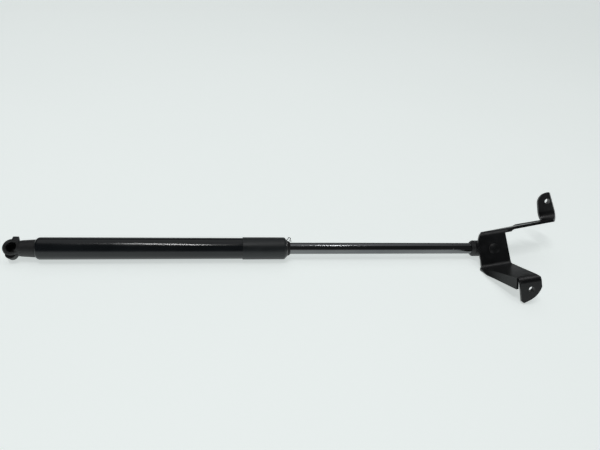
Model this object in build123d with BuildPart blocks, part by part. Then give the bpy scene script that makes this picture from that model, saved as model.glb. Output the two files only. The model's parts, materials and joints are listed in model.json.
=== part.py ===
from build123d import *
from math import atan2, cos, degrees, radians, sin, tan
import os

# Gas strut stay for a vehicle tailgate, shown fully extended and lying on its side.
# Frame: origin at the centre of the ball seat in the tube-end socket, +X along the strut towards
# the rod end, +Z up.  The sleeve and the bracket stand on the plane z = -sleeve_d / 2.

# ---------------------------------------------------------------- driving dimensions (mm, degrees)
tube_d = 18.0
tube_wall = 1.2
rod_d = 10.0
sleeve_d = 19.0
stroke = 152.0

tube_start = 17.0
tube_end = 213.3
ball_x = 406.3
sleeve_start = tube_end - 35.0
sleeve_end = tube_end + 2.0
wiper_end = tube_end + 5.5
collar_start = ball_x - 19.4

ball_d = 8.0
stud_lean = 36.0
stud_yaw = 17.0
bracket_roll = 20.0
socket_roll = 53.0

sheet = 2.5
stud_length = 14.2
tab_hole_d = 5.0
tab_tilt = 15.0

# ---------------------------------------------------------------- derived dimensions
tube_r = tube_d / 2
bore_r = tube_r - tube_wall
rod_r = rod_d / 2
sleeve_r = sleeve_d / 2
ball_r = ball_d / 2
running = 0.05
stud_shank_r = 3.0


def direction(lean, yaw):
    """Unit vector that leans up by lean from level and turns by yaw from -Y towards -X."""
    level = cos(radians(lean))
    return Vector(-sin(radians(yaw)) * level, -cos(radians(yaw)) * level, sin(radians(lean)))


# Socket planes: X stays along the strut, Z points out of the socket's mouth.
strut_axis = Vector(1, 0, 0)
tube_socket_plane = Plane(origin=(0, 0, 0), x_dir=strut_axis, z_dir=direction(socket_roll, 0))

# The stud leans out of the plane across the strut, as the ball joint lets it.
stud_axis = direction(stud_lean, stud_yaw)
mouth_lean = degrees(atan2(stud_axis.Z, -stud_axis.Y))
rod_socket_plane = Plane(origin=(ball_x, 0, 0), x_dir=strut_axis, z_dir=direction(mouth_lean, 0))
level_across = Vector(cos(radians(stud_yaw)), -sin(radians(stud_yaw)), 0)
rolled_across = level_across * cos(radians(bracket_roll)) + stud_axis.cross(level_across) * sin(
    radians(bracket_roll)
)
stud_plane = Plane(origin=(ball_x, 0, 0), x_dir=rolled_across, z_dir=stud_axis)
# Front face of the bracket's web, seen along the stud.
web_plane = stud_plane.offset(stud_length)


def web_point(right, up, out):
    """A point given from the stud's seat: along the web, up the web and out from its front."""
    return web_plane.from_local_coords(Vector(right, up, out))


def turned(outline, plane=Plane.XZ, axis=Axis.X):
    """A round piece: the closed outline turned once about the axis."""
    with BuildPart() as piece:
        with BuildSketch(plane):
            with BuildLine():
                Polyline(*outline, close=True)
            make_face()
        revolve(axis=axis)
    return piece


def finish(piece, label):
    """Name a finished piece and write it."""
    piece.part.label = label
    export_step(piece.part, f"parts/{label}.step")


os.makedirs("parts", exist_ok=True)

# ================================================================ tube and what is fixed in it

# ---------------------------------------------------------------- pressure tube
# Drawn steel tube, its closed end rolled in over the end plug and its open end over the guide.
shoulder = 2.6
plug_hole_r = 5.0
inner_shoulder = shoulder - tube_wall
rolled_r = 6.9
bead_x = tube_end - 17.6
bead_depth = 0.6
bead_half = 1.6
with BuildPart() as pressure_tube:
    with BuildSketch(Plane.XZ):
        with BuildLine():
            closed_face = Line((tube_start, plug_hole_r), (tube_start, tube_r - shoulder))
            closed_arc = TangentArc(
                closed_face @ 1, (tube_start + shoulder, tube_r), tangent=(0, 1)
            )
            outside = Polyline(
                closed_arc @ 1,
                (bead_x - bead_half, tube_r),
                (bead_x, tube_r - bead_depth),
                (bead_x + bead_half, tube_r),
                (tube_end - inner_shoulder, tube_r),
            )
            open_arc = TangentArc(outside @ 1, (tube_end, tube_r - inner_shoulder), tangent=(1, 0))
            inside = Polyline(
                open_arc @ 1,
                (tube_end, rolled_r),
                (tube_end - tube_wall, rolled_r),
                (tube_end - tube_wall, bore_r),
                (bead_x + bead_half, bore_r),
                (bead_x, bore_r - bead_depth),
                (bead_x - bead_half, bore_r),
                (tube_start + shoulder, bore_r),
            )
            inner_arc = TangentArc(
                inside @ 1, (tube_start + tube_wall, tube_r - shoulder), tangent=(-1, 0)
            )
            Polyline(inner_arc @ 1, (tube_start + tube_wall, plug_hole_r), closed_face @ 0)
        make_face()
    revolve(axis=Axis.X)
finish(pressure_tube, "pressure_tube")

# ---------------------------------------------------------------- end plug with its threaded stud
plug_in = tube_start + tube_wall
plug_end = 23.0
stud_tip = 8.6
thread_chamfer = 0.6
o_ring_wire = 0.75
o_ring_x = 21.6
groove_r = bore_r - 2 * o_ring_wire
end_plug = turned([
    (stud_tip, 0),
    (stud_tip, stud_shank_r - thread_chamfer),
    (stud_tip + thread_chamfer, stud_shank_r),
    (tube_start, stud_shank_r),
    (tube_start, plug_hole_r),
    (plug_in, plug_hole_r),
    (plug_in, tube_r - shoulder - 0.2),
    (tube_start + shoulder, bore_r - 0.2),
    (tube_start + shoulder, bore_r),
    (o_ring_x - o_ring_wire, bore_r),
    (o_ring_x - o_ring_wire, groove_r),
    (o_ring_x + o_ring_wire, groove_r),
    (o_ring_x + o_ring_wire, bore_r),
    (plug_end, bore_r),
    (plug_end, 0),
])
finish(end_plug, "end_plug")


def o_ring(x, wire_r, centre_r):
    """A rubber ring of round section about the strut."""
    with BuildPart() as piece:
        with BuildSketch(Plane.XZ):
            with Locations((x, centre_r)):
                Circle(wire_r)
        revolve(axis=Axis.X)
    return piece


finish(o_ring(o_ring_x, o_ring_wire - 0.02, bore_r - o_ring_wire), "plug_o_ring")

# ---------------------------------------------------------------- tube-end ball socket
# An open cup for a ball stud, with a tapered neck that screws onto the end plug's stud.
cup_mouth = 5.0
rim_chamfer = 0.7
claw_low = 1.9
claw_high = 3.1
claw_width = 2.4
clip_groove = 1.0
groove_reach = 0.95
band_proud = 0.35


def cup_outline(outer_r, cavity_r, back, rim):
    """Half section of a cup about its own axis: x is the radius, y the height to the mouth."""
    return [
        (cavity_r + rim, cup_mouth),
        (outer_r - rim, cup_mouth),
        (outer_r, cup_mouth - rim),
        (outer_r, back / 2),
        (outer_r * 0.62, back),
        (0, back),
    ]


def ball_socket(plane, outer_r, cavity_r, neck, thread_r, thread_span, back, boss=None):
    """Cup and neck as one piece.  neck is the outline of the neck about the strut's axis.

    boss is the place and radius of a round boss at the cup's side.
    """
    with BuildPart() as piece:
        with BuildSketch(Plane.XZ):
            with BuildLine():
                Polyline(*neck, close=True)
            make_face()
        revolve(axis=Axis.X)
        cup_section = Plane(origin=plane.origin, x_dir=plane.x_dir, z_dir=plane.y_dir * -1)
        with BuildSketch(cup_section):
            with BuildLine():
                Polyline(*cup_outline(outer_r, cavity_r, back, rim_chamfer), (0, cup_mouth), close=True)
            make_face()
        revolve(axis=Axis(plane.origin, plane.z_dir))
        if boss:
            across, below, radius = boss
            with BuildSketch(plane.offset(back / 2)):
                with Locations((across, below)):
                    Circle(radius)
            extrude(amount=claw_low - back / 2)
        # Ball seat: a straight bore from the mouth with a round bottom.
        with BuildSketch(plane):
            Circle(cavity_r)
        extrude(amount=cup_mouth + 3, mode=Mode.SUBTRACT)
        with Locations(plane):
            Sphere(cavity_r, mode=Mode.SUBTRACT)
        with BuildSketch(plane.offset(cup_mouth - rim_chamfer)):
            Circle(cavity_r)
        extrude(amount=rim_chamfer + 0.001, taper=-45, mode=Mode.SUBTRACT)
        # Groove for the clip's band, and windows for its two claws.
        with BuildSketch(plane.offset(claw_low)):
            Circle(outer_r + groove_reach)
            Circle(outer_r - clip_groove, mode=Mode.SUBTRACT)
            Rectangle(2 * outer_r, claw_width)
        extrude(amount=claw_high - claw_low, mode=Mode.SUBTRACT)
        # Threaded hole along the strut.
        low, high = thread_span
        with BuildSketch(Plane.YZ.offset(low)):
            Circle(thread_r)
        extrude(amount=high - low, mode=Mode.SUBTRACT)
    return piece


tube_cup_r = 6.5
tube_cavity_r = ball_r + 0.1
tube_cup_back = -6.3
neck_root = 3.2
neck_root_r = 5.9
neck_waist = 6.5
neck_waist_r = 6.5
neck_end_r = 7.2
boss_x = -0.9
boss_y = -4.8
boss_r = 3.9
tube_end_socket = ball_socket(
    tube_socket_plane,
    tube_cup_r,
    tube_cavity_r,
    [
        (neck_root, 0),
        (neck_root, neck_root_r),
        (neck_waist, neck_waist_r),
        (tube_start, neck_end_r),
        (tube_start, 0),
    ],
    stud_shank_r,
    (stud_tip - 1.0, tube_start),
    tube_cup_back,
    boss=(boss_x, boss_y, boss_r),
)
finish(tube_end_socket, "tube_end_socket")


# ---------------------------------------------------------------- spring clips of the ball sockets
# A sprung band in the cup's groove, open at one side, with two claws through the cup's windows
# and a flat lug for a screwdriver.
def socket_clip(plane, outer_r, claw_r, low, high, lug_x, lug_reach):
    """The clip of one ball socket, seated in the groove of its cup."""
    band_r = outer_r - clip_groove
    band_out = outer_r + band_proud
    gap = 70.0
    lug_width = 6.2
    lug_slope = 72.0
    with BuildPart() as piece:
        with BuildSketch(plane.offset(low + 0.05)):
            Circle(band_out)
            Circle(band_r + 0.02, mode=Mode.SUBTRACT)
            with Locations((0, -band_out)):
                Rectangle(2 * band_out * sin(radians(gap / 2)), 2 * band_out - 2, mode=Mode.SUBTRACT)
            for side in (-1, 1):
                claw_centre = side * (claw_r + band_r + 0.2) / 2
                with Locations((claw_centre, 0)):
                    Rectangle(band_r + 0.2 - claw_r, claw_width - 0.1)
            with Locations((lug_x, band_r + lug_reach / 2)):
                Trapezoid(lug_width, lug_reach, lug_slope)
        extrude(amount=high - low - 0.1)
    return piece


lug_reach = 3.4
tube_lug_x = 1.6
tube_end_clip = socket_clip(
    tube_socket_plane, tube_cup_r, tube_cavity_r + running, claw_low, claw_high, tube_lug_x, lug_reach
)
finish(tube_end_clip, "tube_end_clip")

# ---------------------------------------------------------------- end sleeve over the guide end
sleeve_round = 2.2
cap_wall = 1.2
cap_hole_r = 7.0
corner_relief = 0.6
with BuildPart() as end_sleeve:
    with BuildSketch(Plane.XZ):
        with BuildLine():
            skirt = Polyline(
                (sleeve_start, tube_r),
                (sleeve_start, sleeve_r - 0.2),
                (sleeve_start + 0.3, sleeve_r),
                (sleeve_end - sleeve_round, sleeve_r),
            )
            round_edge = TangentArc(
                skirt @ 1, (sleeve_end, sleeve_r - sleeve_round), tangent=(1, 0)
            )
            Polyline(
                round_edge @ 1,
                (sleeve_end, cap_hole_r),
                (sleeve_end - cap_wall, cap_hole_r),
                (sleeve_end - cap_wall, tube_r - corner_relief),
                (sleeve_end - cap_wall - corner_relief, tube_r),
                skirt @ 0,
            )
        make_face()
    revolve(axis=Axis.X)
finish(end_sleeve, "end_sleeve")

# ---------------------------------------------------------------- rod guide, seal and their rings
guide_start = tube_end - 11.0
guide_in_end = tube_end - tube_wall
seal_start = tube_end - 15.4
washer_start = tube_end - 16.6
ring_start = tube_end - 18.4
guide_o_ring_x = tube_end - 6.5
guide_groove_r = bore_r - 2 * o_ring_wire
rod_guide = turned([
    (guide_start, rod_r + running),
    (guide_start, bore_r),
    (guide_o_ring_x - o_ring_wire, bore_r),
    (guide_o_ring_x - o_ring_wire, guide_groove_r),
    (guide_o_ring_x + o_ring_wire, guide_groove_r),
    (guide_o_ring_x + o_ring_wire, bore_r),
    (guide_in_end, bore_r),
    (guide_in_end, rolled_r),
    (tube_end, rolled_r),
    (tube_end, rod_r + running),
])
finish(rod_guide, "rod_guide")
finish(o_ring(guide_o_ring_x, o_ring_wire - 0.02, bore_r - o_ring_wire), "guide_o_ring")

# The lip seal is a U-section ring, its open side towards the gas.
seal_r = bore_r - 0.3
lip_r = rod_r + 0.08
rod_seal = turned([
    (guide_start, lip_r),
    (guide_start, seal_r),
    (seal_start, seal_r),
    (seal_start, seal_r - 0.8),
    (seal_start + 2.2, seal_r - 1.0),
    (seal_start + 2.2, lip_r + 0.9),
    (seal_start, lip_r + 0.6),
    (seal_start, lip_r),
])
finish(rod_seal, "rod_seal")

washer_r = bore_r - bead_depth - 0.1
seal_washer = turned([
    (washer_start, rod_r + 0.3),
    (washer_start, washer_r),
    (seal_start, washer_r),
    (seal_start, rod_r + 0.3),
])
finish(seal_washer, "seal_washer")

# Split ring between the tube's bead and the seal washer.
split_width = 2.4
with BuildPart() as retaining_ring:
    with BuildSketch(Plane.YZ.offset(ring_start)):
        Circle(washer_r)
        Circle(rod_r + 0.8, mode=Mode.SUBTRACT)
        with Locations((0, washer_r)):
            Rectangle(split_width, washer_r, mode=Mode.SUBTRACT)
    extrude(amount=washer_start - ring_start)
finish(retaining_ring, "retaining_ring")

# ---------------------------------------------------------------- wiper at the sleeve's mouth
wiper_root = tube_end
wiper_bore = rod_r + 0.08
rod_wiper = turned([
    (wiper_root, wiper_bore),
    (wiper_root, cap_hole_r + 0.8),
    (sleeve_end - cap_wall, cap_hole_r + 0.8),
    (sleeve_end - cap_wall, cap_hole_r),
    (sleeve_end, cap_hole_r),
    (sleeve_end + 0.9, cap_hole_r - 0.3),
    (wiper_end - 0.4, rod_r + 0.9),
    (wiper_end, rod_r + 0.5),
    (wiper_end, wiper_bore),
])
finish(rod_wiper, "rod_wiper")

# ---------------------------------------------------------------- wire ring with a pull loop
# A thin wire ring round the wiper's nose; its end rises over the rod in a small loop.
wire_r = 0.35
ring_r = cap_hole_r + 0.26
ring_x = sleeve_end + 0.45
loop_height = 1.9
loop_reach = 4.6
loop_angle = 58.0
with BuildPart() as wire_ring:
    with BuildSketch(Plane.XZ):
        with Locations((ring_x, ring_r)):
            Circle(wire_r)
    revolve(axis=Axis.X)
    loop_plane = Plane(
        origin=(ring_x, ring_r * cos(radians(loop_angle)), ring_r * sin(radians(loop_angle))),
        x_dir=(1, 0, 0),
        z_dir=(0, -sin(radians(loop_angle)), cos(radians(loop_angle))),
    )
    with BuildLine(loop_plane):
        loop_wire = Spline(
            (0, 0),
            (0.4 * loop_reach, loop_height),
            (0.8 * loop_reach, 0.5 * loop_height),
            (loop_reach, -0.5 * loop_height),
            tangents=[(0, 1), (0, -1)],
        )
    with BuildSketch(Plane(origin=loop_wire @ 0, z_dir=loop_wire % 0)):
        Circle(wire_r)
    sweep(path=loop_wire)
finish(wire_ring, "wire_ring")

# ================================================================ piston and rod

# ---------------------------------------------------------------- piston stack on the rod's tenon
rod_shoulder = ring_start - 0.6
support_in = rod_shoulder - 1.0
piston_in = support_in - 6.0
valve_in = piston_in - 0.6
nut_in = valve_in - 3.4
tenon_end = nut_in - 0.6
tenon_r = 3.0
piston_r = bore_r - 0.2
piston_groove_r = 6.0
ring_groove_low = piston_in + 1.8
ring_groove_high = piston_in + 4.4
piston_gap = 0.1

piston = turned([
    (piston_in, tenon_r),
    (piston_in, piston_r),
    (ring_groove_low, piston_r),
    (ring_groove_low, piston_groove_r),
    (ring_groove_high, piston_groove_r),
    (ring_groove_high, piston_r),
    (support_in, piston_r),
    (support_in, tenon_r),
])
finish(piston, "piston")

piston_ring = turned([
    (ring_groove_low + piston_gap, piston_groove_r + piston_gap),
    (ring_groove_low + piston_gap, bore_r - running),
    (ring_groove_high - piston_gap, bore_r - running),
    (ring_groove_high - piston_gap, piston_groove_r + piston_gap),
])
finish(piston_ring, "piston_ring")

support_washer = turned([
    (support_in, tenon_r),
    (support_in, piston_r - 0.4),
    (rod_shoulder, piston_r - 0.4),
    (rod_shoulder, tenon_r),
])
finish(support_washer, "support_washer")

# Star-shaped disc that throttles the gas on the way out.
valve_petals = 6
valve_r = 6.6
valve_notch_r = 1.3
with BuildPart() as valve_disc:
    with BuildSketch(Plane.YZ.offset(valve_in)):
        Circle(valve_r)
        with PolarLocations(valve_r, valve_petals):
            Circle(valve_notch_r, mode=Mode.SUBTRACT)
        Circle(tenon_r, mode=Mode.SUBTRACT)
    extrude(amount=piston_in - valve_in)
finish(valve_disc, "valve_disc")

nut_across = 10.0
with BuildPart() as piston_nut:
    with BuildSketch(Plane.YZ.offset(nut_in)):
        RegularPolygon(nut_across / 2, 6, major_radius=False)
        Circle(tenon_r, mode=Mode.SUBTRACT)
    extrude(amount=valve_in - nut_in)
finish(piston_nut, "piston_nut")

# ---------------------------------------------------------------- piston rod
# The tenon's end clears the end plug when the rod is pushed in by the whole stroke.
assert tenon_end - plug_end > stroke
rod_thread_end = collar_start + 9.0
rod_groove_x = collar_start - 18.9
rod_groove_half = 0.45
rod_groove_depth = 0.25
with BuildPart() as piston_rod:
    with BuildSketch(Plane.XZ):
        with BuildLine():
            Polyline(
                (tenon_end, 0),
                (tenon_end, tenon_r - 0.4),
                (tenon_end + 0.4, tenon_r),
                (rod_shoulder, tenon_r),
                (rod_shoulder, rod_r),
                (rod_groove_x - rod_groove_half, rod_r),
                (rod_groove_x - rod_groove_half + 0.2, rod_r - rod_groove_depth),
                (rod_groove_x + rod_groove_half - 0.2, rod_r - rod_groove_depth),
                (rod_groove_x + rod_groove_half, rod_r),
                (collar_start, rod_r),
                (collar_start, stud_shank_r),
                (rod_thread_end - thread_chamfer, stud_shank_r),
                (rod_thread_end, stud_shank_r - thread_chamfer),
                (rod_thread_end, 0),
                close=True,
            )
        make_face()
    revolve(axis=Axis.X)
finish(piston_rod, "piston_rod")

# ---------------------------------------------------------------- rod-end socket and its clip
collar_r = 7.3
collar_bevel = 2.4
rod_cup_r = 7.25
seat_wall = 0.85
seat_gap = 0.15
seat_r = ball_r + seat_gap + seat_wall
rod_cavity_r = seat_r + seat_gap
rod_cup_back = -7.6
rod_end_socket = ball_socket(
    rod_socket_plane,
    rod_cup_r,
    rod_cavity_r,
    [
        (collar_start, 0),
        (collar_start, rod_r + 0.4),
        (collar_start + collar_bevel, collar_r),
        (ball_x - 3.0, collar_r),
        (ball_x - 3.0, 0),
    ],
    stud_shank_r,
    (collar_start, rod_thread_end + 0.6),
    rod_cup_back,
)
finish(rod_end_socket, "rod_end_socket")

rod_claw_r = 3.9
rod_lug_x = 3.4
rod_end_clip = socket_clip(
    rod_socket_plane, rod_cup_r, rod_claw_r, claw_low, claw_high, rod_lug_x, lug_reach
)
finish(rod_end_clip, "rod_end_clip")

# ================================================================ ball joint and bracket

# ---------------------------------------------------------------- ball seat
# A thin plastic cup under the ball, up to just below its widest part.
seat_mouth = -0.4
with BuildPart() as ball_seat:
    with Locations(stud_plane):
        Sphere(seat_r)
        Sphere(ball_r + seat_gap, mode=Mode.SUBTRACT)
    with BuildSketch(stud_plane.offset(seat_mouth)):
        Circle(seat_r + 1)
    extrude(amount=2 * seat_r, mode=Mode.SUBTRACT)
finish(ball_seat, "ball_seat")

# ---------------------------------------------------------------- ball stud, riveted to the web
neck_r = 2.4
shoulder_r = 5.5
shoulder_in = stud_length - sheet - 2.0
web_back = stud_length - sheet
rivet_r = 4.6
rivet_rise = 1.3
stud_section = Plane(origin=stud_plane.origin, x_dir=stud_plane.x_dir, z_dir=stud_plane.y_dir * -1)
neck_start = (ball_r**2 - neck_r**2) ** 0.5
with BuildPart() as ball_stud:
    with BuildSketch(stud_section):
        with BuildLine():
            ball_arc = ThreePointArc((0, -ball_r), (ball_r, 0), (neck_r, neck_start))
            shaft = Polyline(
                ball_arc @ 1,
                (neck_r, shoulder_in - 0.8),
                (neck_r + 0.8, shoulder_in),
                (shoulder_r, shoulder_in),
                (shoulder_r, web_back),
                (stud_shank_r, web_back),
                (stud_shank_r, stud_length),
                (rivet_r, stud_length),
                (rivet_r, stud_length + 0.4),
            )
            head = TangentArc((0, stud_length + rivet_rise), shaft @ 1, tangent=(1, 0))
            Line(head @ 0, ball_arc @ 0)
        make_face()
    revolve(axis=Axis(stud_plane.origin, stud_plane.z_dir))
finish(ball_stud, "ball_stud")

# ---------------------------------------------------------------- mounting bracket
# One strip of pressed steel in steps: upper tab, upper arm, web, lower arm, lower tab.
web_top = 16.5
web_bottom = -15.0
web_left = -9.0
web_right = 12.2
web_bulge = -13.5
web_foot = -14.2
corner_round = 3.0
lower_fold = Vector(35.0, -25.0)
lower_hole = Vector(12.6, -35.6)
lower_left = 3.7
lower_right = 21.0
lower_tip = -46.2
tip_round = 2.0
tip_flat = 6.4
tip_rise = 1.5
upper_arm_low = 12.5
upper_hole = Vector(66.0, 34.0)
upper_hole_out = -27.0
tab_r = 8.8
hole_collar_r = 3.8
hole_collar_depth = 3.0
trim = 2.0
lower_reach = 26.0
upper_tab_bend = 7.0
upper_arm_bend = 4.5
lower_arm_bend = 4.0
lower_tab_bend = 5.0

# Step outline in the plane across the folds: x is out from the web, y is up the web.
tab_run = Vector(sin(radians(tab_tilt)), cos(radians(tab_tilt)))
upper_top = Vector(upper_hole_out, upper_hole.Y) + tab_run * (tab_r + trim)
upper_fold = Vector(upper_hole_out, upper_hole.Y) - tab_run * (
    (upper_hole.Y - web_top) / tab_run.Y
)
lower_end = lower_fold - tab_run * lower_reach
lower_hole_out = lower_fold.X - (lower_fold.Y - lower_hole.Y) * tab_run.X / tab_run.Y
step_plane = Plane(origin=web_plane.origin, x_dir=web_plane.z_dir, z_dir=web_plane.x_dir * -1)
plan_plane = Plane(origin=web_plane.origin, x_dir=web_plane.x_dir, z_dir=web_plane.y_dir)
cut_depth = 120.0

# Edges of the plan outline: x along the web, y back from its front.
plan_left = -25.0
plan_mid = 24.0
plan_right = 80.0
front_reach = 50.0
back_reach = 37.0
strip_root = 3.2
strip_low = 0.5
strip_near = 19.0
strip_start = 4.0
strip_bend = 9.0
strip_end = 46.0
strip_far = 56.0
strip_near_end = 50.0


def tab_plane(right, up, out):
    """Plane on a tab's front face at its hole, facing out."""
    outward = web_plane.z_dir * cos(radians(tab_tilt)) - web_plane.y_dir * sin(radians(tab_tilt))
    return Plane(origin=web_point(right, up, out), x_dir=web_plane.x_dir, z_dir=outward)


lower_tab_plane = tab_plane(lower_hole.X, lower_hole.Y, lower_hole_out)
upper_tab_plane = tab_plane(upper_hole.X, upper_hole.Y, upper_hole_out)

# Stiffening lip along the lower arm's left edge, splayed at the web and upright at the tab.
lip_start = web_point(web_foot, web_bottom, 0)
lip_end = web_point(lower_left, lower_fold.Y, lower_fold.X)
lip_run = (lip_end - lip_start).normalized()
arm_right = web_plane.x_dir
arm_up = lip_run.cross(arm_right).normalized()
lip_left = lip_run.cross(arm_up).normalized()
lip_inset = 3.0
lip_skin = 0.3
lip_depths = (1.0, 5.0, 10.0)
lip_falls = (-10.0, 45.0, 82.0)
lip_before = 0.5
lip_after = 8.0


def lip_outline(depth, fall):
    """Section of the arm's edge and its lip: x to the left of the edge, y up from the arm."""
    down = Vector(cos(radians(fall)), -sin(radians(fall)))
    inward = Vector(-sin(radians(fall)), -cos(radians(fall)))
    tip = down * depth
    inner_tip = tip + inward * sheet
    knee = inward * sheet + down * (sheet * tan(radians(fall / 2)))
    return [
        (0, 0),
        (tip.X, tip.Y),
        (inner_tip.X, inner_tip.Y),
        (knee.X, knee.Y),
        (-lip_inset, -sheet + lip_skin),
        (-lip_inset, -lip_skin),
    ]


def lip_plane(along):
    """Plane across the lip at a distance from its start, x to the left."""
    return Plane(
        origin=lip_start + lip_run * along, x_dir=lip_left, z_dir=lip_left.cross(arm_up)
    )


lip_length = (lip_end - lip_start).length
lip_stations = zip((-lip_before, lip_after, lip_length - 3.0), lip_depths, lip_falls)

with BuildPart() as mounting_bracket:
    with BuildSketch(step_plane):
        with BuildLine():
            FilletPolyline(
                (upper_top.X, upper_top.Y),
                (upper_fold.X, upper_fold.Y),
                (0, web_top),
                (0, web_bottom),
                (lower_fold.X, lower_fold.Y),
                (lower_end.X, lower_end.Y),
                radius=(upper_tab_bend, upper_arm_bend, lower_arm_bend, lower_tab_bend),
            )
            offset(amount=sheet, side=Side.RIGHT)
        make_face()
    extrude(amount=cut_depth, both=True)
    # Front outline: the web with its round left side, both arms and both tabs.
    with BuildSketch(web_plane):
        with BuildLine():
            web_side = Spline(
                (web_left + corner_round, web_top + 1),
                (web_left - 1.5, web_top - corner_round),
                (web_bulge, 0.3 * web_bottom),
                (web_foot, web_bottom),
            )
            lower_side = Polyline(
                web_side @ 1,
                (lower_left, lower_fold.Y),
                (lower_left, lower_tip + tip_round),
                (lower_left + tip_round, lower_tip),
                (lower_left + tip_flat, lower_tip + tip_rise),
            )
            lower_round = TangentArc(
                lower_side @ 1, (lower_right, lower_hole.Y + 1), tangent=lower_side % 1
            )
            upper_side = Polyline(
                lower_round @ 1,
                (lower_right, lower_fold.Y - 1),
                (web_right, web_bottom),
                (web_right, upper_arm_low),
                (upper_hole.X + tab_r, upper_arm_low),
                (upper_hole.X + tab_r, upper_hole.Y),
            )
            upper_round = ThreePointArc(
                upper_side @ 1,
                (upper_hole.X, upper_hole.Y + tab_r * tab_run.Y),
                (upper_hole.X - tab_r, upper_hole.Y),
            )
            Polyline(
                upper_round @ 1,
                (upper_hole.X - tab_r, web_top + 1),
                web_side @ 0,
            )
        make_face()
    extrude(amount=cut_depth, both=True, mode=Mode.INTERSECT)
    # Plan outline: the upper arm slants back to its tab, a strip cut out of the folded step.
    with BuildSketch(plan_plane):
        with BuildLine():
            Polyline(
                (plan_left, -front_reach),
                (plan_left, strip_root),
                (web_left, strip_root),
                (strip_start, strip_bend),
                (strip_end, back_reach - strip_bend / 4),
                (strip_far, back_reach),
                (plan_right, back_reach),
                (upper_hole.X + tab_r, back_reach - corner_round),
                (upper_hole.X, strip_near + corner_round),
                (strip_near_end, strip_near - corner_round),
                (web_right + trim, strip_low),
                (plan_mid, strip_low - back_reach),
                (plan_mid, -front_reach),
                close=True,
            )
        make_face()
    extrude(amount=cut_depth, both=True, mode=Mode.INTERSECT)
    # Lip of the lower arm.
    for along, depth, fall in lip_stations:
        with BuildSketch(lip_plane(along)):
            with BuildLine():
                Polyline(*lip_outline(depth, fall), close=True)
            make_face()
    loft(ruled=True)
    # Collars drawn out behind the tabs for the threads of the fixing holes.
    with BuildSketch(lower_tab_plane.offset(-sheet / 2), upper_tab_plane.offset(-sheet / 2)):
        Circle(hole_collar_r)
    extrude(amount=-(sheet / 2 + hole_collar_depth))
    # Holes: two for the fixing bolts and one for the stud.
    with BuildSketch(lower_tab_plane, upper_tab_plane):
        Circle(tab_hole_d / 2)
    extrude(amount=3 * sheet, both=True, mode=Mode.SUBTRACT)
    with BuildSketch(web_plane):
        Circle(stud_shank_r)
    extrude(amount=2 * sheet, both=True, mode=Mode.SUBTRACT)
finish(mounting_bracket, "mounting_bracket")
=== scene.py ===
import json
import math

import bpy
from mathutils import Matrix, Vector

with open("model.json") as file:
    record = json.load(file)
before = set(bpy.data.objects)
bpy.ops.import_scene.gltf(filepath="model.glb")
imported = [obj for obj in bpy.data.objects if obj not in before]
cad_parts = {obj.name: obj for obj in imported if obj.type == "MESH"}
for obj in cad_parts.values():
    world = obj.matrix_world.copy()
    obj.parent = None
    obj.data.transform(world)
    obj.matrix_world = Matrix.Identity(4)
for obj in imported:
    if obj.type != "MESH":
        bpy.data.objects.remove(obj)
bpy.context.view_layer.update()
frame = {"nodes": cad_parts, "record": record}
nodes = frame["nodes"]
MM = 0.001


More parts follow.
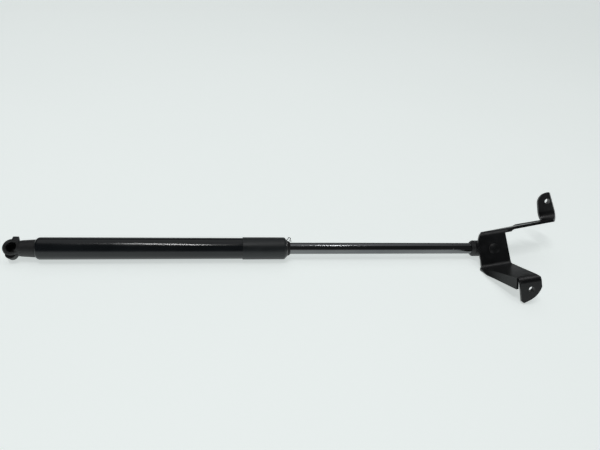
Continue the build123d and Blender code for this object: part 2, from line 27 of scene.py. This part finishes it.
# ---------------------------------------------------------------- shader building blocks
class Shader:
    """A node material in the making: short calls for the nodes that every finish is made of."""

    edge_samples = 6
    edge_start = 0.995
    edge_full = 0.88

    def __init__(self, name):
        self.material = bpy.data.materials.new(name)
        self.material.use_nodes = True
        self.tree = self.material.node_tree
        self.bsdf = self.tree.nodes["Principled BSDF"]
        self.place = self.add("ShaderNodeTexCoord").outputs["Object"]

    def add(self, kind, **settings):
        node = self.tree.nodes.new(kind)
        for key, value in settings.items():
            setattr(node, key, value)
        return node

    def link(self, source, target):
        self.tree.links.new(source, target)

    def stretched(self, stretch):
        """Object coordinates, squeezed along each axis."""
        mapping = self.add("ShaderNodeMapping")
        mapping.inputs["Scale"].default_value = stretch
        self.link(self.place, mapping.inputs["Vector"])
        return mapping.outputs["Vector"]

    def noise(self, scale, detail=4.0, rough=0.55, stretch=None, distortion=0.0):
        node = self.add("ShaderNodeTexNoise")
        node.inputs["Scale"].default_value = scale
        node.inputs["Detail"].default_value = detail
        node.inputs["Roughness"].default_value = rough
        node.inputs["Distortion"].default_value = distortion
        self.link(self.stretched(stretch) if stretch else self.place, node.inputs["Vector"])
        return node.outputs["Fac"]

    def cells(self, scale):
        """Distance to the nearest of many scattered points: a fine grain."""
        node = self.add("ShaderNodeTexVoronoi")
        node.inputs["Scale"].default_value = scale
        self.link(self.place, node.inputs["Vector"])
        return node.outputs["Distance"]

    def span(self, value, low, high, to_low=0.0, to_high=1.0):
        """A value's stretch from low to high spread over to_low to to_high, and held beyond."""
        node = self.add("ShaderNodeMapRange", clamp=True)
        node.inputs["From Min"].default_value = low
        node.inputs["From Max"].default_value = high
        node.inputs["To Min"].default_value = to_low
        node.inputs["To Max"].default_value = to_high
        self.link(value, node.inputs["Value"])
        return node.outputs["Result"]

    def cloud(self, scale, detail=3.0):
        """Soft patches, from 0 to 1."""
        return self.span(self.noise(scale, detail), low=0.35, high=0.65)

    def math(self, operation, first, second):
        node = self.add("ShaderNodeMath", operation=operation)
        for socket, value in zip(node.inputs, (first, second)):
            if isinstance(value, (int, float)):
                socket.default_value = value
            else:
                self.link(value, socket)
        return node.outputs["Value"]

    def times(self, first, second):
        return self.math("MULTIPLY", first, second)

    def plus(self, first, second):
        return self.math("ADD", first, second)

    def blend(self, share, first, second):
        """Colour that goes from first to second with share."""
        node = self.add("ShaderNodeMix", data_type="RGBA")
        self.link(share, node.inputs["Factor"])
        for socket, value in ((node.inputs["A"], first), (node.inputs["B"], second)):
            if isinstance(value, tuple):
                socket.default_value = (*value, 1.0)
            else:
                self.link(value, socket)
        return node.outputs["Result"]

    def edges(self, width):
        """1 on edges up to a width, 0 elsewhere."""
        rounded = self.add("ShaderNodeBevel", samples=self.edge_samples)
        rounded.inputs["Radius"].default_value = width
        plain = self.add("ShaderNodeNewGeometry")
        dot = self.add("ShaderNodeVectorMath", operation="DOT_PRODUCT")
        self.link(rounded.outputs["Normal"], dot.inputs[0])
        self.link(plain.outputs["Normal"], dot.inputs[1])
        return self.span(dot.outputs["Value"], self.edge_start, self.edge_full)

    def bump(self, *layers):
        """Stacks (height, strength, distance) layers into the surface's normal."""
        normal = None
        for height, strength, distance in layers:
            node = self.add("ShaderNodeBump")
            node.inputs["Strength"].default_value = strength
            node.inputs["Distance"].default_value = distance
            self.link(height, node.inputs["Height"])
            if normal:
                self.link(normal, node.inputs["Normal"])
            normal = node.outputs["Normal"]
        self.link(normal, self.bsdf.inputs["Normal"])

    def finish(self, colour, roughness, metallic=0.0, **constants):
        for socket, value in (("Base Color", colour), ("Roughness", roughness)):
            self.link(value, self.bsdf.inputs[socket])
        self.bsdf.inputs["Metallic"].default_value = metallic
        for key, value in constants.items():
            self.bsdf.inputs[key.replace("_", " ")].default_value = value
        return self.material


def scaled(colour, gain):
    """A colour made darker or brighter, and never above white."""
    return tuple(min(1.0, gain * value) for value in colour)


# ---------------------------------------------------------------- finishes
hairline_stretch = (0.04, 1.0, 1.0)
rub_stretch = (0.12, 1.0, 1.0)
fibre_stretch = (0.25, 1.0, 1.0)
film_stretch = (0.35, 1.0, 1.0)
ground_stretch = (3.0, 0.35, 0.35)
turned_stretch = (4.0, 0.4, 0.4)
wound_stretch = (1.0, 1.0, 4.0)
drawn_stretch = (1.0, 1.0, 1.0)
dark_share = 0.7
worn_gain = 1.7


def tube_paint():
    """Gloss black enamel on drawn tube: a little orange peel, hairlines and dust."""
    s = Shader("tube_paint")
    cloud = s.cloud(scale=35)
    peel = s.noise(scale=900, detail=2, rough=0.4)
    hair = s.span(s.noise(scale=1500, detail=5, rough=0.7, stretch=hairline_stretch), 0.62, 0.72)
    dust = s.span(s.noise(scale=2600, detail=2, rough=0.5), 0.7, 0.78)
    colour = s.blend(cloud, (0.0065, 0.0085, 0.0105), (0.010, 0.0125, 0.0150))
    colour = s.blend(s.times(dust, 0.35), colour, (0.10, 0.105, 0.105))
    rough = s.plus(s.span(cloud, 0, 1, to_low=0.13, to_high=0.2), s.times(hair, 0.12))
    s.bump((peel, 0.10, 0.2 * MM), (hair, 0.05, 0.1 * MM))
    return s.finish(colour, rough, Specular_IOR_Level=0.42, Coat_Weight=0.15, Coat_Roughness=0.08)


def sleeve_plastic():
    """Satin black moulding over the tube's end."""
    s = Shader("sleeve_plastic")
    cloud = s.cloud(scale=60)
    grain = s.noise(scale=2400, detail=3)
    rub = s.span(s.noise(scale=420, detail=4, rough=0.6, stretch=rub_stretch), 0.58, 0.72)
    colour = s.blend(cloud, (0.0125, 0.0155, 0.0175), (0.019, 0.0225, 0.0245))
    rough = s.math("SUBTRACT", s.span(cloud, 0, 1, to_low=0.36, to_high=0.44), s.times(rub, 0.1))
    s.bump((grain, 0.12, 0.2 * MM))
    return s.finish(colour, rough)


def rod_steel():
    """Ground and polished rod with a thin oil film."""
    s = Shader("rod_steel")
    lines = s.noise(scale=5200, detail=3, rough=0.6, stretch=ground_stretch)
    film = s.span(s.noise(scale=45, detail=4, rough=0.6, stretch=film_stretch), 0.35, 0.65)
    colour = s.blend(film, (0.15, 0.155, 0.16), (0.20, 0.205, 0.21))
    rough_film = s.span(film, 0, 1, to_low=0.09, to_high=0.15)
    rough = s.plus(rough_film, s.span(lines, 0.3, 0.7, to_low=0.0, to_high=0.05))
    s.bump((lines, 0.04, 0.1 * MM))
    return s.finish(colour, rough, metallic=1.0)


def fitting_plastic():
    """Matt dark grey glass-filled plastic."""
    s = Shader("fitting_plastic")
    cloud = s.cloud(scale=120, detail=4)
    fibres = s.noise(scale=1500, detail=4, rough=0.7, stretch=fibre_stretch)
    grain = s.cells(scale=2600)
    worn = s.edges(width=0.5 * MM)
    colour = s.blend(cloud, (0.016, 0.0162, 0.0172), (0.026, 0.0262, 0.0275))
    colour = s.blend(s.times(worn, 0.35), colour, (0.075, 0.077, 0.077))
    rough = s.span(fibres, 0.35, 0.65, to_low=0.42, to_high=0.58)
    s.bump((grain, 0.12, 0.2 * MM), (fibres, 0.08, 0.2 * MM))
    return s.finish(colour, rough)


def bracket_paint():
    """Semi-gloss black dip paint on pressed steel: flow marks, rubbed edges, a few chips."""
    s = Shader("bracket_paint")
    cloud = s.cloud(scale=70, detail=4)
    peel = s.noise(scale=650, detail=3, rough=0.5)
    pressed = s.noise(scale=160, detail=3, rough=0.5)
    scuff = s.span(s.noise(scale=520, detail=6, rough=0.72, distortion=0.6), 0.60, 0.70)
    worn = s.times(s.edges(width=0.7 * MM), s.span(s.noise(scale=380), 0.42, 0.6))
    chips = s.span(s.noise(scale=1100, detail=3), 0.69, 0.73)
    colour = s.blend(cloud, (0.0052, 0.0056, 0.0062), (0.0092, 0.0098, 0.0108))
    colour = s.blend(s.times(scuff, 0.25), colour, (0.035, 0.036, 0.038))
    colour = s.blend(s.times(worn, 0.6), colour, (0.11, 0.11, 0.11))
    colour = s.blend(s.times(chips, 0.5), colour, (0.085, 0.085, 0.08))
    rough = s.plus(s.span(cloud, 0, 1, to_low=0.30, to_high=0.42), s.times(scuff, 0.15))
    s.bump((pressed, 0.10, 0.8 * MM), (peel, 0.12, 0.2 * MM), (chips, 0.3, 0.1 * MM))
    return s.finish(colour, rough)


def worked_metal(name, base, smooth, dull, line_scale, stretch):
    """Bare metal with tool lines: smooth and dull bound its roughness."""
    s = Shader(name)
    lines = s.noise(line_scale, detail=4, rough=0.6, stretch=stretch)
    cloud = s.cloud(scale=90, detail=4)
    worn = s.edges(width=0.3 * MM)
    colour = s.blend(cloud, scaled(base, dark_share), base)
    colour = s.blend(s.times(worn, 0.5), colour, scaled(base, worn_gain))
    rough = s.span(s.plus(lines, s.times(cloud, 0.3)), 0.4, 0.95, smooth, dull)
    s.bump((lines, 0.12, 0.1 * MM))
    return s.finish(colour, rough, metallic=1.0)


def soft_black(name, base, smooth, dull):
    """Rubber or dark plastic with a fine skin."""
    s = Shader(name)
    cloud = s.cloud(scale=150)
    skin = s.cells(scale=3200)
    colour = s.blend(cloud, scaled(base, dark_share), base)
    rough = s.span(cloud, 0, 1, smooth, dull)
    s.bump((skin, 0.15, 0.1 * MM))
    return s.finish(colour, rough)


def acetal():
    """Milky white bearing plastic."""
    s = Shader("seat_plastic")
    cloud = s.cloud(scale=200)
    skin = s.noise(scale=2500, detail=3)
    colour = s.blend(cloud, (0.60, 0.60, 0.55), (0.70, 0.70, 0.66))
    s.bump((skin, 0.08, 0.1 * MM))
    return s.finish(colour, s.span(cloud, 0, 1, to_low=0.35, to_high=0.45))


def bare_metals():
    """Spring wire, turned steel, turned aluminium and drawn wire."""
    grey = (0.12, 0.12, 0.125)
    steel = (0.45, 0.45, 0.45)
    aluminium = (0.6, 0.61, 0.62)
    wire = (0.3, 0.3, 0.3)
    return {
        "clip_steel": worked_metal("clip_steel", grey, 0.3, 0.45, 1800, wound_stretch),
        "inner_metal": worked_metal("inner_metal", steel, 0.25, 0.4, 2600, turned_stretch),
        "guide_aluminium": worked_metal("guide_aluminium", aluminium, 0.25, 0.4, 2600, turned_stretch),
        "wire_steel": worked_metal("wire_steel", wire, 0.2, 0.35, 2600, drawn_stretch),
    }


materials = {
    "tube_paint": tube_paint(),
    "sleeve_plastic": sleeve_plastic(),
    "rod_steel": rod_steel(),
    "fitting_plastic": fitting_plastic(),
    "bracket_paint": bracket_paint(),
    **bare_metals(),
    "seal_rubber": soft_black("seal_rubber", (0.012, 0.012, 0.013), smooth=0.5, dull=0.68),
    "piston_plastic": soft_black("piston_plastic", (0.08, 0.08, 0.08), smooth=0.4, dull=0.5),
    "seat_plastic": acetal(),
}

slot_of = {part["node"]: part["material_slot"] for part in frame["record"]["subparts"]}
for name, node in nodes.items():
    for slot in node.material_slots:
        slot.material = materials[slot_of[name]]


# ---------------------------------------------------------------- floor, light and camera
table_z = -9.5 * MM
floor_size = 6.0
middle = Vector((0.24, 0.0, 0.0))
left_lamp = Vector((-0.08, -0.22, 1.5))
right_lamp = Vector((0.62, 0.13, 1.5))
left_width = 0.52
right_width = 0.24
lamp_depth = 0.05
left_power = 3.6
right_power = 0.8
glow_tilt = math.radians(25.0)
glow_inner = math.radians(20.0)
glow_outer = math.radians(38.0)
glow_strength = 0.45
band_top = 0.28
band_foot = 0.04
band_strength = 0.42
room_strength = 0.05
room_tint = (0.96, 0.985, 1.0)
table_glow = 0.57
table_tint = (0.94, 1.0, 0.985)
camera_place = Vector((0.1666, -0.2960, 0.2347))
camera_target = Vector((0.2350, 0.0484, table_z))
camera_roll = math.radians(6.94)
sensor_mm = 36.0
lens_mm = 26.4
nearest_seen = 0.01


def pale_floor():
    """A plain pale table top, wide enough to fill the view, that gives off part of its light."""
    bpy.ops.mesh.primitive_plane_add(size=floor_size, location=(middle.x, middle.y, table_z))
    floor = bpy.context.object
    floor.name = "floor"
    s = Shader("floor_pale")
    cloud = s.span(s.noise(scale=3, detail=2), 0.3, 0.7)
    colour = s.blend(cloud, (0.76, 0.80, 0.79), (0.78, 0.82, 0.81))
    rough = s.span(cloud, 0, 1, to_low=0.5, to_high=0.55)
    material = s.finish(colour, rough, Emission_Strength=table_glow)
    s.bsdf.inputs["Emission Color"].default_value = (*table_tint, 1.0)
    floor.data.materials.append(material)


def area_light(name, place, power, width):
    """A narrow softbox that faces the middle of the strut."""
    light = bpy.data.lights.new(name, "AREA")
    light.shape = "RECTANGLE"
    light.size = width
    light.size_y = lamp_depth
    light.energy = power
    lamp = bpy.data.objects.new(name, light)
    lamp.location = place
    lamp.rotation_euler = (middle - place).to_track_quat("-Z", "Y").to_euler()
    bpy.context.collection.objects.link(lamp)


def surrounding():
    """A dim room: one broad glow overhead and behind, and a paler band near the table."""
    world = bpy.data.worlds.new("surrounding")
    world.use_nodes = True
    tree = world.node_tree

    def spread(value, low, high, strength):
        node = tree.nodes.new("ShaderNodeMapRange")
        node.interpolation_type = "SMOOTHSTEP"
        node.inputs["From Min"].default_value = low
        node.inputs["From Max"].default_value = high
        node.inputs["To Max"].default_value = strength
        tree.links.new(value, node.inputs["Value"])
        return node.outputs["Result"]

    def total(first, second):
        node = tree.nodes.new("ShaderNodeMath")
        for socket, value in zip(node.inputs, (first, second)):
            if isinstance(value, float):
                socket.default_value = value
            else:
                tree.links.new(value, socket)
        return node.outputs["Value"]

    place = tree.nodes.new("ShaderNodeTexCoord").outputs["Generated"]
    towards = tree.nodes.new("ShaderNodeVectorMath")
    towards.operation = "DOT_PRODUCT"
    towards.inputs[1].default_value = (0.0, math.sin(glow_tilt), math.cos(glow_tilt))
    tree.links.new(place, towards.inputs[0])
    glow = spread(towards.outputs["Value"], math.cos(glow_outer), math.cos(glow_inner), glow_strength)
    split = tree.nodes.new("ShaderNodeSeparateXYZ")
    tree.links.new(place, split.inputs["Vector"])
    band = spread(split.outputs["Z"], band_top, band_foot, band_strength)
    background = tree.nodes["Background"]
    background.inputs["Color"].default_value = (*room_tint, 1.0)
    tree.links.new(total(total(glow, band), room_strength), background.inputs["Strength"])
    bpy.context.scene.world = world


def studio():
    """Two small lamps nearly overhead, in a softly lit room."""
    area_light("lamp_left", left_lamp, left_power, left_width)
    area_light("lamp_right", right_lamp, right_power, right_width)
    surrounding()


def camera():
    """Hand-held view from in front and above, rolled a little."""
    data = bpy.data.cameras.new("camera")
    data.sensor_width = sensor_mm
    data.lens = lens_mm
    data.clip_start = nearest_seen
    data.dof.use_dof = False
    view = bpy.data.objects.new("camera", data)
    look = (camera_target - camera_place).to_track_quat("-Z", "Y").to_matrix()
    turn = look @ Matrix.Rotation(camera_roll, 3, "Z")
    view.matrix_world = Matrix.Translation(camera_place) @ turn.to_4x4()
    bpy.context.collection.objects.link(view)
    bpy.context.scene.camera = view


pale_floor()
studio()
camera()
bpy.context.scene.view_settings.view_transform = "Standard"
